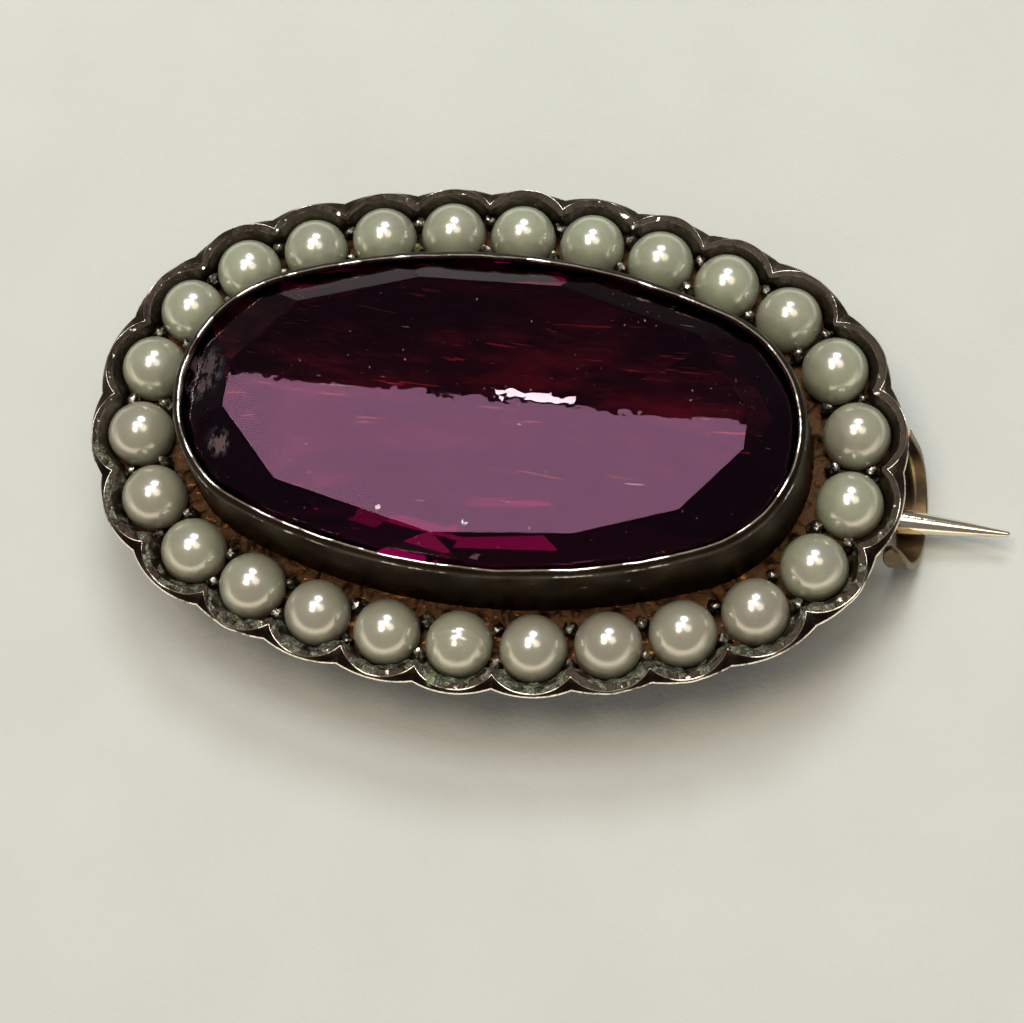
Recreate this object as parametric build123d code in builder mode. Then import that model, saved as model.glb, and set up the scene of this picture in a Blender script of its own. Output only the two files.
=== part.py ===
"""Oval pin brooch: a faceted stone in a plain collet, ringed by pearls in a scalloped tray.

Millimetres, +Z up. The brooch lies face up on Z = 0, on its hinge barrel and its catch.
The origin is on that surface, under the middle of the whole length, pin point included.
"""

import os
from math import atan2, cos, pi, radians, sin, sqrt

from build123d import *

# Lip oval: the inner edge of the collet's lip, four tangent arcs
LIP_HALF_LENGTH = 11.06
LIP_HALF_WIDTH = 5.82
LIP_END_RADIUS = 4.57

# Collet: the oval cup round the stone, from its closed back behind the plate up to its lip
COLLET_RISE = 3.14
LIP_WIDTH = 0.36
LIP_THICKNESS = 0.28
LIP_ROUNDING = 0.12
COLLET_FOOT_SPREAD = 0.20
BEARING_INSET = 0.12
BEARING_DROP = 0.55
BACK_THICKNESS = 0.30

# Stone, as cut
STONE_GRIP = 0.12
STONE_CLEARANCE = 0.05
LIP_TO_GIRDLE = 0.12
CULET_GUARD = 0.17
CROWN_HEIGHT = 0.85
GIRDLE_THICKNESS = 0.22
PAVILION_DEPTH = 3.90
GIRDLE_FACETS = 20
# Directions that the facets face, in degrees anticlockwise from the right end
MAIN_TURNS = (38, 75, 92, 108, 142, 224, 258, 276, 291, 322)
BREAK_TURNS = (0, 58, 84, 100, 123, 180, 242, 267, 284, 305)
# Tiers of facets, as shares of the girdle's size and of the crown's or pavilion's height
CROWN_TIERS = [
    {"size": 0.985, "height": 0.00},
    {"size": 0.790, "height": 1.00},
]
CROWN_BREAKS = [
    {"size": 0.985, "height": 0.00},
    {"size": 0.900, "height": 0.55},
]
GIRDLE_TIERS = [
    {"size": 0.995, "height": 0.00},
    {"size": 0.960, "height": 0.25},
]
PAVILION_BREAKS = [
    {"size": 0.985, "height": 0.00},
    {"size": 0.900, "height": -0.23},
]
PAVILION_TIERS = [
    {"size": 0.985, "height": 0.00},
    {"size": 0.860, "height": -0.30},
    {"size": 0.660, "height": -0.58},
    {"size": 0.420, "height": -0.82},
    {"size": 0.150, "height": -1.00},
]

# Pearls, flat underneath, on a line parallel to the lip oval
PEARL_DIAMETER = 2.49
PEARL_GAP = 0.12
PEARL_TO_COLLET = 0.335
PEARL_CUT_BELOW_CENTRE = 0.43
PEARL_SEAT_GAP = 0.02

# Tray: a plate with a raised rim, cut to a round cup beside each pearl.
# The rim's crest follows the cups, and a bevel runs from it to a shallower outer edge.
PLATE_THICKNESS = 0.30
WALL_HEIGHT = 0.95
CUP_MARGIN = 0.29
CUP_FOOT_CLEARANCE = 0.05
CREST_THICKNESS = 0.12
CREST_SCALLOP_DEPTH = 0.56
BEVEL_WIDTH = 0.18
BEVEL_DROP = 0.15
RIM_SCALLOP_DEPTH = 0.22
RIM_UNDERCUT = 0.06
FLOOR_MARGIN = 0.86

# Grains: round beads of metal raised between the pearls, on both sides of the pearl line
GRAIN_RADIUS = 0.22
GRAIN_CLEARANCE = 0.05
GRAIN_RISE = 0.85

# Pin: stem, eye and rivet
PIN_DIAMETER = 1.05
PIN_POINT_LENGTH = 4.60
PIN_POINT_RADIUS = 0.11
PIN_OVERHANG = 4.03
PIN_TIP_SIDE = -0.63
PIN_TO_BACK = 0.53
PIN_EYE_LENGTH = 1.40
EYE_RUNNING_FIT = 0.05
RIVET_DIAMETER = 0.90
RIVET_FIT = 0.03
RIVET_HEAD_DIAMETER = 1.30
RIVET_HEAD_THICKNESS = 0.24
RIVET_HEAD_ROUNDING = 0.14

# Hinge knuckles behind the left end
HINGE_INSET = 2.02
BARREL_LENGTH = 4.40
KNUCKLE_GAP = 0.08
KNUCKLE_WEB_WIDTH = 1.50

# Catch: a strip that leaves the plate, passes under the pin and ends in a rounded tongue
CATCH_WIDTH = 1.20
CATCH_THICKNESS = 0.28
CATCH_PIN_GAP = 0.145
CATCH_HALF_SPAN = 2.38
CATCH_SIDE_SHIFT = 0.28
CATCH_OVERHANG = 1.02
CATCH_LEAN = 15
CATCH_CURL = 25
CATCH_TONGUE_ROUNDING = 0.50
CATCH_FOOT_LENGTH = 2.40
CATCH_FOOT_WIDTH = 1.40
CATCH_FOOT_INSET = 0.30
SOLDER_LAP = 0.06

# Worked-out arcs of the lip oval
END_CENTRE = LIP_HALF_LENGTH - LIP_END_RADIUS
SIDE_RADIUS = (END_CENTRE**2 + LIP_HALF_WIDTH**2 - LIP_END_RADIUS**2) / (
    2 * (LIP_HALF_WIDTH - LIP_END_RADIUS)
)
SIDE_CENTRE = SIDE_RADIUS - LIP_HALF_WIDTH
JOIN_ANGLE = atan2(SIDE_CENTRE, END_CENTRE)

# Worked-out outsets, all measured outwards from the lip oval
PEARL_RADIUS = PEARL_DIAMETER / 2
COLLET_FOOT_OUTSET = LIP_WIDTH + COLLET_FOOT_SPREAD
PEARL_OUTSET = COLLET_FOOT_OUTSET + PEARL_TO_COLLET + PEARL_RADIUS
CREST_OUTSET = PEARL_OUTSET + PEARL_RADIUS + CUP_MARGIN + CREST_THICKNESS
RIM_OUTSET = CREST_OUTSET + BEVEL_WIDTH
GROOVE_OUTSET = STONE_GRIP + STONE_CLEARANCE
PEARL_FOOT_RADIUS = sqrt(PEARL_RADIUS**2 - PEARL_CUT_BELOW_CENTRE**2)

# Worked-out heights, from the surface up
PIN_HEIGHT = PIN_DIAMETER / 2 + CATCH_PIN_GAP + CATCH_THICKNESS
BACK_BOTTOM = PIN_HEIGHT + PIN_DIAMETER / 2 + PIN_TO_BACK
BACK_TOP = BACK_BOTTOM + BACK_THICKNESS
CULET_HEIGHT = BACK_TOP + CULET_GUARD
GIRDLE_BOTTOM = CULET_HEIGHT + PAVILION_DEPTH
GIRDLE_TOP = GIRDLE_BOTTOM + GIRDLE_THICKNESS
TABLE_HEIGHT = GIRDLE_TOP + CROWN_HEIGHT
LIP_UNDERSIDE = GIRDLE_TOP + LIP_TO_GIRDLE
LIP_TOP = LIP_UNDERSIDE + LIP_THICKNESS
BEARING_TOP = GIRDLE_BOTTOM - BEARING_DROP
PLATE_TOP = LIP_TOP - COLLET_RISE
PLATE_BOTTOM = PLATE_TOP - PLATE_THICKNESS
WALL_TOP = PLATE_TOP + WALL_HEIGHT
PEARL_HEIGHT = PLATE_TOP + PEARL_SEAT_GAP + PEARL_CUT_BELOW_CENTRE

# Worked-out pearl line
END_TRAVEL = (LIP_END_RADIUS + PEARL_OUTSET) * JOIN_ANGLE
SIDE_TRAVEL = (SIDE_RADIUS + PEARL_OUTSET) * (pi / 2 - JOIN_ANGLE)
QUARTER_TRAVEL = END_TRAVEL + SIDE_TRAVEL
PEARL_COUNT = int(4 * QUARTER_TRAVEL / (PEARL_DIAMETER + PEARL_GAP))
PEARL_PITCH = 4 * QUARTER_TRAVEL / PEARL_COUNT


def normal_angle(travel):
    """Direction of the oval's outward normal, a travel along the pearl line from +X."""
    quarter, rest = divmod(travel, QUARTER_TRAVEL)
    if quarter % 2:
        rest = QUARTER_TRAVEL - rest
    if rest < END_TRAVEL:
        turn = rest / (LIP_END_RADIUS + PEARL_OUTSET)
    else:
        turn = JOIN_ANGLE + (rest - END_TRAVEL) / (SIDE_RADIUS + PEARL_OUTSET)
    if quarter % 2:
        turn = pi - turn
    return turn + (quarter // 2) * pi


def oval_centre(angle):
    """Centre of the arc whose normal has this direction, and that arc's radius."""
    side_x = 1 if cos(angle) > 0 else -1
    side_y = 1 if sin(angle) > 0 else -1
    if abs(cos(angle)) > cos(JOIN_ANGLE):
        return Vector(side_x * END_CENTRE, 0), LIP_END_RADIUS
    return Vector(0, -side_y * SIDE_CENTRE), SIDE_RADIUS


def oval_point(angle, outset):
    """Point of the oval set out from the lip oval, where its normal has this direction."""
    centre, radius = oval_centre(angle)
    return centre + Vector(cos(angle), sin(angle)) * (radius + outset)


def oval_reach(angle, outset):
    """How far that oval reaches in this direction."""
    point = oval_point(angle, outset)
    return point.X * cos(angle) + point.Y * sin(angle)


def scallop_points(index, outset, depth):
    """Start cusp, top and end cusp of the scallop that goes round one pearl."""
    turns = [normal_angle((index + step) * PEARL_PITCH) for step in (0, 0.5, 1)]
    cusp = outset - depth
    return [oval_point(turn, reach) for turn, reach in zip(turns, (cusp, outset, cusp))]


def rightmost_of_scallops():
    """How far the first scallop reaches along X, whose arc bulges past its top."""
    start, top, end = scallop_points(0, RIM_OUTSET, RIM_SCALLOP_DEPTH)
    sagitta = (top - (start + end) / 2).length
    radius = ((end - start).length ** 2 / 4 + sagitta**2) / (2 * sagitta)
    return top.X + radius * (1 - cos(normal_angle(PEARL_PITCH / 2)))


# Worked-out places along X, from the oval's middle
TRAY_REACH = rightmost_of_scallops()
HINGE_X = HINGE_INSET - TRAY_REACH
PIN_TIP_X = TRAY_REACH + PIN_OVERHANG
CATCH_OUTER_X = TRAY_REACH + CATCH_OVERHANG
PIN_LENGTH = PIN_TIP_X - HINGE_X
MIDDLE_X = -PIN_OVERHANG / 2


def pin_side_at(x):
    """How far the pin's centre line lies to one side, at a place along X."""
    return PIN_TIP_SIDE * (x - HINGE_X) / PIN_LENGTH


def plan_at(height):
    """Plane of a plan section, centred on the oval."""
    return Plane((MIDDLE_X, 0, height))


def draw_oval(outset):
    """Closed outline of the oval set out from the lip oval, inside a BuildLine."""
    for quarter in range(4):
        start = quarter * pi / 2
        join = JOIN_ANGLE if quarter % 2 == 0 else pi / 2 - JOIN_ANGLE
        corners = [start, start + join, start + pi / 2]
        for begin, end in zip(corners, corners[1:]):
            angles = (begin, (begin + end) / 2, end)
            ThreePointArc(*[oval_arc_point(begin, end, angle, outset) for angle in angles])


def oval_arc_point(begin, end, angle, outset):
    """Point of the arc between two directions, at one of its directions."""
    centre, radius = oval_centre((begin + end) / 2)
    return centre + Vector(cos(angle), sin(angle)) * (radius + outset)


def scalloped_section(height, outset, depth):
    """Sketch of the scalloped outline round all the pearls, at a height."""
    with BuildSketch(plan_at(height)) as section:
        with BuildLine():
            for index in range(PEARL_COUNT):
                ThreePointArc(*scallop_points(index, outset, depth))
        make_face()
    return section.sketch


def oval_section(height, outset):
    """Sketch of the oval at a height."""
    with BuildSketch(plan_at(height)) as section:
        with BuildLine():
            draw_oval(outset)
        make_face()
    return section.sketch


def pearl_centre(index):
    """Centre of a pearl in plan, from the oval's middle."""
    return oval_point(normal_angle((index + 0.5) * PEARL_PITCH), PEARL_OUTSET)


def grain_places():
    """Places of the grains: two between each pair of pearls, clear of both."""
    spacing = PEARL_RADIUS + GRAIN_RADIUS + GRAIN_CLEARANCE
    places = []
    for index in range(PEARL_COUNT):
        here = pearl_centre(index)
        there = pearl_centre(index + 1)
        across = sqrt(spacing**2 - (there - here).length ** 2 / 4)
        outwards = (there - here).normalized().cross(Vector(0, 0, 1))
        middle = (here + there) / 2
        places += [middle + outwards * across, middle - outwards * across]
    return places


def facet_plane(angle, low, high, base, height):
    """Plane of a facet that touches two ovals of the stone, one at each end of a tier."""
    girdle = oval_reach(angle, STONE_GRIP)
    run = (high["size"] - low["size"]) * girdle
    rise = (high["height"] - low["height"]) * height
    outwards = Vector(cos(angle), sin(angle), 0)
    normal = outwards * abs(rise) + Vector(0, 0, -run if rise > 0 else run)
    touch = outwards * (girdle * low["size"]) + Vector(MIDDLE_X, 0, base + low["height"] * height)
    return Plane(origin=touch, z_dir=normal)


def girdle_angles():
    """Directions of the small facets next to the girdle, evenly spaced along the oval."""
    step = 4 * QUARTER_TRAVEL / GIRDLE_FACETS
    return [normal_angle(index * step) for index in range(GIRDLE_FACETS)]


os.makedirs("parts", exist_ok=True)

# Strip of the catch: it leans out from under the plate and curls round under the pin
catch_middle = pin_side_at(CATCH_OUTER_X - CATCH_WIDTH / 2) + CATCH_SIDE_SHIFT
strip_radius = CATCH_HALF_SPAN - CATCH_THICKNESS / 2
lean = radians(CATCH_LEAN)
curl = radians(CATCH_CURL)
catch_height = CATCH_HALF_SPAN * cos(lean)
root_rise = (PLATE_BOTTOM + SOLDER_LAP - catch_height) / cos(lean)
catch_plane = Plane(
    (MIDDLE_X + CATCH_OUTER_X - CATCH_HALF_SPAN * sin(lean), catch_middle, catch_height),
    x_dir=(0, 1, 0),
    z_dir=(cos(lean), 0, sin(lean)),
)
with BuildPart() as catch:
    with BuildSketch(catch_plane):
        with BuildLine():
            Line((strip_radius, root_rise), (strip_radius, 0))
            ThreePointArc(
                (strip_radius, 0),
                (0, -strip_radius),
                (-strip_radius * cos(curl), strip_radius * sin(curl)),
            )
        trace(line_width=CATCH_THICKNESS)
    extrude(amount=CATCH_WIDTH, dir=(-1, 0, 0))
    tongue_corners = catch.edges().filter_by(GeomType.LINE).filter_by(
        lambda edge: abs(edge.length - CATCH_THICKNESS) < SOLDER_LAP and abs(edge.tangent_at(0).X) < 0.5
    )
    fillet(tongue_corners.sort_by(Axis.Y)[:2], CATCH_TONGUE_ROUNDING)

# Setting: tray, grains, collet, hinge knuckles and catch, soldered into one
with BuildPart() as setting:
    # Tray with its bevelled rim
    shoulder = scalloped_section(WALL_TOP - BEVEL_DROP, RIM_OUTSET, RIM_SCALLOP_DEPTH)
    loft(
        [
            scalloped_section(PLATE_BOTTOM, RIM_OUTSET - RIM_UNDERCUT, RIM_SCALLOP_DEPTH),
            shoulder,
        ],
        ruled=True,
    )
    loft(
        [shoulder, scalloped_section(WALL_TOP, CREST_OUTSET, CREST_SCALLOP_DEPTH)],
        ruled=True,
    )

    # Floor of the tray, and the cups
    floor = oval_section(PLATE_TOP, PEARL_OUTSET + FLOOR_MARGIN)
    extrude(floor, amount=WALL_HEIGHT, mode=Mode.SUBTRACT)
    with Locations(plan_at(PLATE_TOP)):
        with Locations([pearl_centre(index) for index in range(PEARL_COUNT)]):
            Cone(
                PEARL_FOOT_RADIUS + CUP_FOOT_CLEARANCE,
                PEARL_RADIUS + CUP_MARGIN,
                WALL_HEIGHT,
                align=(Align.CENTER, Align.CENTER, Align.MIN),
                mode=Mode.SUBTRACT,
            )

    # Grains
    with Locations(plan_at(PLATE_TOP - SOLDER_LAP)):
        with Locations(grain_places()):
            Cylinder(
                GRAIN_RADIUS,
                GRAIN_RISE + SOLDER_LAP - GRAIN_RADIUS,
                align=(Align.CENTER, Align.CENTER, Align.MIN),
            )
    with Locations(plan_at(PLATE_TOP + GRAIN_RISE - GRAIN_RADIUS)):
        with Locations(grain_places()):
            Sphere(GRAIN_RADIUS)

    # Collet, with a straight wall behind the plate and a tapered one before it
    extrude(oval_section(BACK_BOTTOM, COLLET_FOOT_OUTSET), amount=PLATE_TOP - BACK_BOTTOM)
    loft(
        [oval_section(PLATE_TOP, COLLET_FOOT_OUTSET), oval_section(LIP_TOP, LIP_WIDTH)],
        ruled=True,
    )
    lip_edges = setting.edges().group_by(Axis.Z)[-1]
    fillet(lip_edges, LIP_ROUNDING)

    # Bore of the collet: bearing, groove for the girdle and lip
    bore = [
        (BACK_TOP, BEARING_TOP, -BEARING_INSET),
        (BEARING_TOP, LIP_UNDERSIDE, GROOVE_OUTSET),
        (LIP_UNDERSIDE, LIP_TOP, 0),
    ]
    for low, high, outset in bore:
        extrude(oval_section(low, outset), amount=high - low, mode=Mode.SUBTRACT)

    # Hinge knuckles
    knuckle_length = (BARREL_LENGTH - PIN_EYE_LENGTH) / 2 - KNUCKLE_GAP
    for side in (-1, 1):
        middle_y = side * (BARREL_LENGTH - knuckle_length) / 2
        hinge_point = Vector(MIDDLE_X + HINGE_X, middle_y, PIN_HEIGHT)
        with BuildSketch(Plane(hinge_point, x_dir=(1, 0, 0), z_dir=(0, -1, 0))):
            Circle(PIN_HEIGHT)
            Rectangle(
                KNUCKLE_WEB_WIDTH,
                PLATE_BOTTOM + SOLDER_LAP - PIN_HEIGHT,
                align=(Align.CENTER, Align.MIN),
            )
            Circle(RIVET_DIAMETER / 2 + RIVET_FIT, mode=Mode.SUBTRACT)
        extrude(amount=knuckle_length / 2, both=True)

    # Foot of the catch, under the plate
    foot_corner = Vector(
        MIDDLE_X + TRAY_REACH - CATCH_FOOT_INSET,
        catch_middle + CATCH_HALF_SPAN,
        PLATE_BOTTOM + SOLDER_LAP,
    )
    with Locations(foot_corner):
        Box(
            CATCH_FOOT_LENGTH,
            CATCH_FOOT_WIDTH,
            CATCH_THICKNESS + SOLDER_LAP,
            align=(Align.MAX, Align.MAX, Align.MAX),
        )

    # Catch, soldered to its foot
    add(catch.part)

setting.part.label = "setting"
export_step(setting.part, "parts/setting.step")

# Stone: an oval blank, cut facet by facet
with BuildPart() as stone:
    extrude(oval_section(CULET_HEIGHT, STONE_GRIP), amount=TABLE_HEIGHT - CULET_HEIGHT)
    main_angles = [radians(turn) for turn in MAIN_TURNS]
    break_angles = [radians(turn) for turn in BREAK_TURNS]
    rings = [
        (girdle_angles(), GIRDLE_TIERS, GIRDLE_TOP, CROWN_HEIGHT),
        (break_angles, CROWN_BREAKS, GIRDLE_TOP, CROWN_HEIGHT),
        (main_angles, CROWN_TIERS, GIRDLE_TOP, CROWN_HEIGHT),
        (girdle_angles(), PAVILION_BREAKS, GIRDLE_BOTTOM, PAVILION_DEPTH),
        (main_angles, PAVILION_TIERS, GIRDLE_BOTTOM, PAVILION_DEPTH),
    ]
    for angles, tiers, base, height in rings:
        for low, high in zip(tiers, tiers[1:]):
            for angle in angles:
                split(bisect_by=facet_plane(angle, low, high, base, height), keep=Keep.BOTTOM)

stone.part.label = "stone"
export_step(stone.part, "parts/stone.step")

# Pearls, numbered anticlockwise from the right end
for index in range(PEARL_COUNT):
    centre = pearl_centre(index) + Vector(MIDDLE_X, 0, PEARL_HEIGHT)
    with BuildPart(Plane(centre)) as pearl:
        Sphere(PEARL_RADIUS)
        split(bisect_by=Plane(centre).offset(-PEARL_CUT_BELOW_CENTRE), keep=Keep.TOP)
    pearl.part.label = f"pearl_{index + 1:02d}"
    export_step(pearl.part, f"parts/{pearl.part.label}.step")

# Pin: a tapered stem on an eye that turns on the rivet
hinge_centre = Vector(MIDDLE_X + HINGE_X, 0, PIN_HEIGHT)
stem_plane = Plane(hinge_centre, x_dir=(PIN_LENGTH, PIN_TIP_SIDE, 0), z_dir=(0, 0, 1))
across_plane = Plane(hinge_centre, z_dir=(0, 1, 0))
with BuildPart() as pin:
    with BuildSketch(stem_plane):
        with BuildLine():
            Polyline(
                (PIN_LENGTH, 0),
                (0, 0),
                (0, PIN_DIAMETER / 2),
                (PIN_LENGTH - PIN_POINT_LENGTH, PIN_DIAMETER / 2),
                (PIN_LENGTH - PIN_POINT_RADIUS, PIN_POINT_RADIUS),
            )
            RadiusArc(
                (PIN_LENGTH - PIN_POINT_RADIUS, PIN_POINT_RADIUS),
                (PIN_LENGTH, 0),
                PIN_POINT_RADIUS,
            )
        make_face()
    revolve(axis=Axis(stem_plane.origin, stem_plane.x_dir))
    with BuildSketch(across_plane):
        Circle(PIN_HEIGHT)
    extrude(amount=PIN_EYE_LENGTH / 2, both=True)
    with BuildSketch(across_plane):
        Circle(RIVET_DIAMETER / 2 + EYE_RUNNING_FIT)
    extrude(amount=PIN_EYE_LENGTH, both=True, mode=Mode.SUBTRACT)

pin.part.label = "pin"
export_step(pin.part, "parts/pin.step")

# Rivet through the knuckles and the pin's eye, with a rounded head at each end
with BuildPart(across_plane) as rivet:
    Cylinder(RIVET_DIAMETER / 2, BARREL_LENGTH + RIVET_HEAD_THICKNESS)
    head_place = (BARREL_LENGTH + RIVET_HEAD_THICKNESS) / 2 + RIVET_FIT
    with Locations((0, 0, -head_place), (0, 0, head_place)):
        Cylinder(RIVET_HEAD_DIAMETER / 2, RIVET_HEAD_THICKNESS)
    rims = rivet.edges().group_by(Axis.Y)
    fillet(rims[0] + rims[-1], RIVET_HEAD_ROUNDING)

rivet.part.label = "hinge_rivet"
export_step(rivet.part, "parts/hinge_rivet.step")
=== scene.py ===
import random
from math import atan2, cos, pi, radians, sin, sqrt

import bmesh
import bpy
from mathutils import Matrix, Vector, noise


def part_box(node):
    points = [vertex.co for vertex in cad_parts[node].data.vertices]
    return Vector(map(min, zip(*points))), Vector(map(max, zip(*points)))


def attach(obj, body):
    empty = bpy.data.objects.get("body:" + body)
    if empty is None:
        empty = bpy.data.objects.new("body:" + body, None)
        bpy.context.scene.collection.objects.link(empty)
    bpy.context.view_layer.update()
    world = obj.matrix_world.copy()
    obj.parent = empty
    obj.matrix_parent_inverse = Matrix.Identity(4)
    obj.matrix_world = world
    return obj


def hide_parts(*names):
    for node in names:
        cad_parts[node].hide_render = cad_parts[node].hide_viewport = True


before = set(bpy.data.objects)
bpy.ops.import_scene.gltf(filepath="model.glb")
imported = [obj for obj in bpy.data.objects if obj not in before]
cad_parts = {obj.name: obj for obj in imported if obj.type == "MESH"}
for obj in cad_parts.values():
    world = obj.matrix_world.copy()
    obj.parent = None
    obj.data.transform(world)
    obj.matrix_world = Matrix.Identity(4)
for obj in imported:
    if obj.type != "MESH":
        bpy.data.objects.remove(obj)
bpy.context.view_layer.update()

MM = 0.001

# Lip oval of the collet: four tangent arcs
LIP_HALF_LENGTH = 11.06 * MM
LIP_HALF_WIDTH = 5.82 * MM
LIP_END_RADIUS = 4.57 * MM
END_CENTRE = LIP_HALF_LENGTH - LIP_END_RADIUS
SIDE_RADIUS = (END_CENTRE**2 + LIP_HALF_WIDTH**2 - LIP_END_RADIUS**2) / (
    2 * (LIP_HALF_WIDTH - LIP_END_RADIUS)
)
SIDE_CENTRE = SIDE_RADIUS - LIP_HALF_WIDTH
JOIN_TURN = atan2(SIDE_CENTRE, END_CENTRE)

# Green spots on the metal, and chips on the stone's edges: place and reach, in millimetres
GREEN_SPOTS = (
    ((-6.13, 6.93, 4.9), 0.70),
    ((-2.75, -9.42, 4.6), 0.40),
    ((7.67, -7.19, 4.6), 0.32),
)
CHIPS = (
    ((-12.4, 0.3, 6.7), 1.35),
    ((-11.2, -2.2, 6.8), 0.75),
    ((-1.95, -4.4, 7.4), 0.16),
    ((-5.06, -4.2, 7.4), 0.13),
)

# One pearl shows growth rings on its near side
RINGED_PEARL = 19
RINGS_WAY = Vector((0.1, -0.75, 0.65)).normalized()

# Places taken from the frame
PEARL_NODES = sorted(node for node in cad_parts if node.startswith("pearl_"))
PEARL_RADIUS = (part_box("pearl_01")[1].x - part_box("pearl_01")[0].x) / 2
PEARL_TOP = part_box("pearl_01")[1].z
PEARL_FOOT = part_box("pearl_01")[0].z
PEARL_HEIGHT = PEARL_TOP - PEARL_RADIUS
MIDDLE_X = (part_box("stone")[0].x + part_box("stone")[1].x) / 2
LIP_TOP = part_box("setting")[1].z
CATCH_OUTER_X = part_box("setting")[1].x
PIN_TIP_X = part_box("pin")[1].x

# Tray, with outsets measured from the pearl line
PEARL_LINE = 2.14 * MM
PLATE_TOP = LIP_TOP - 3.14 * MM
PLATE_BOTTOM = PLATE_TOP - 0.30 * MM
WALL_TOP = PLATE_TOP + 0.95 * MM
CUP_TOP_RADIUS = PEARL_RADIUS + 0.29 * MM
CUP_FOOT_RADIUS = 1.22 * MM
CUP_SHELF_RADIUS = 1.30 * MM
CUP_SHELF_HEIGHT = 0.60 * MM
RIM_OUTSET = CUP_TOP_RADIUS + 0.30 * MM
RIM_DEPTH = 0.22 * MM
RIM_UNDERCUT = 0.30 * MM
CREST_OUTSET = RIM_OUTSET - 0.06 * MM
CREST_DEPTH = 0.68 * MM
BEVEL_DROP = 0.15 * MM
LAND_OUTSET = 0.86 * MM
THINNEST_EDGE = 0.05 * MM
TRAY_COLUMNS = 1040
FLOOR_ROWS = 22
CUP_ROWS = 6
LAND_ROWS = 7
BEVEL_ROWS = 4
WALL_ROWS = 4
UNDERSIDE_ROWS = 8

# Stone, whose tiers of facets are shares of the girdle's size and of the crown's or pavilion's height
STONE_GRIP = 0.12 * MM
STONE_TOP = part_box("stone")[1].z
STONE_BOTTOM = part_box("stone")[0].z
GIRDLE_TOP = STONE_TOP - 0.85 * MM
GIRDLE_BOTTOM = GIRDLE_TOP - 0.22 * MM
GIRDLE_FACETS = 20
STONE_COLUMNS = 180
# Directions that the main facets and the break facets face, in degrees
MAIN_TURNS = (38, 75, 92, 108, 142, 224, 258, 276, 291, 322)
BREAK_TURNS = (0, 58, 84, 100, 123, 180, 242, 267, 284, 305)
CROWN_TIERS = ((0.985, 0.0), (0.79, 1.0))
CROWN_BREAKS = ((0.985, 0.0), (0.90, 0.55))
GIRDLE_TIERS = ((0.995, 0.0), (0.96, 0.25))
PAVILION_BREAKS = ((0.985, 0.0), (0.90, -0.23))
PAVILION_TIERS = ((0.985, 0.0), (0.86, -0.30), (0.66, -0.58), (0.42, -0.82), (0.15, -1.0))

# Collet, with outsets measured from the lip oval
BACK_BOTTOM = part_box("stone")[0].z - 0.47 * MM
BACK_THICKNESS = 0.30 * MM
BEARING_HEIGHT = LIP_TOP - 1.17 * MM
COLLET_FOOT = 0.56 * MM
SEAM_WIDTH = 0.12 * MM
LIP_WIDTH = 0.36 * MM
COLLET_COLUMNS = 520
COLLET_ROWS = 13
BORE_ROWS = 7
BACK_COLUMNS = 260
BACK_INSET = 0.05 * MM
# Rounding of the lip, a row for each step over it: outset, drop below its top, wear, and how dark it is
# painted
LIP_SECTION = (
    (0.358 * MM, 0.42 * MM, 0.0, 0.55),
    (0.345 * MM, 0.30 * MM, 0.0, 0.60),
    (0.310 * MM, 0.19 * MM, 0.70, 0.15),
    (0.250 * MM, 0.10 * MM, 0.0, 0.95),
    (0.190 * MM, 0.045 * MM, 0.0, 0.95),
    (0.140 * MM, 0.010 * MM, 0.2, 0.60),
    (0.105 * MM, 0.0, 0.8, 0.0),
    (0.070 * MM, 0.006 * MM, 1.0, 0.0),
    (0.035 * MM, 0.045 * MM, 0.8, 0.0),
    (0.016 * MM, 0.12 * MM, 0.2, 0.4),
)

# Grains, whose feet are sunk into the plate
GRAIN_REACH = PEARL_RADIUS + 0.26 * MM
GRAIN_SUNK = 0.10 * MM
GRAIN_LEAN = 0.16 * MM

# Pin, hinge and catch
HINGE_PLACE = Vector((-14.936, 0, 0.95)) * MM
PIN_RADIUS = 0.525 * MM
PIN_TIP_SIDE = -0.63 * MM
PIN_TAPER = 4.60 * MM
PIN_TIP_RADIUS = 0.11 * MM
PIN_STEM_START = 0.50 * MM
PIN_TAPER_ROWS = 12
PIN_POINT_ROWS = 5
BARREL_RADIUS = HINGE_PLACE.z
BARREL_LENGTH = 4.40 * MM
BARREL_SOFTNESS = 0.08 * MM
EYE_LENGTH = 1.40 * MM
EYE_CLEARANCE = 0.05 * MM
KNUCKLE_GAP = 0.08 * MM
KNUCKLE_CLEARANCE = 0.03 * MM
WEB_WIDTH = 1.50 * MM
WEB_RISE = 0.60 * MM
SOLDER_DEPTH = 0.05 * MM
RIVET_RADIUS = 0.45 * MM
RIVET_PROUD = 0.03 * MM
# Half of the rivet's domed head, in millimetres: along the rivet and out from its axis
RIVET_HEAD = ((0.0, 0.45), (0.0, 0.65), (0.10, 0.64), (0.18, 0.56), (0.225, 0.40), (0.24, 0.20), (0.24, 0.0))
RIVET_STEPS = 40
ROUND_STEPS = 48
CATCH_HALF_SPAN = 2.38 * MM
CATCH_SIDE = -0.318 * MM
CATCH_WIDTH = 1.20 * MM
CATCH_THICKNESS = 0.28 * MM
CATCH_LEAN = radians(15)
CATCH_CURL = radians(25)
CATCH_ROOT_DEPTH = 0.06 * MM
CATCH_TONGUE = 0.95 * MM
CATCH_SLIMMING = 0.30
# Share of the catch's width past which its upper stretch is painted dark as shade, with a painted glint line
# along that edge
CATCH_SHADE_FROM = 0.36
CATCH_SOFTNESS = 0.05 * MM
CATCH_FOOT_INSET = 1.32 * MM
CATCH_FOOT_SIZE = Vector((2.68, 1.40, 0.33)) * MM
CATCH_COLUMNS = 90
CATCH_ROWS = 16

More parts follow.
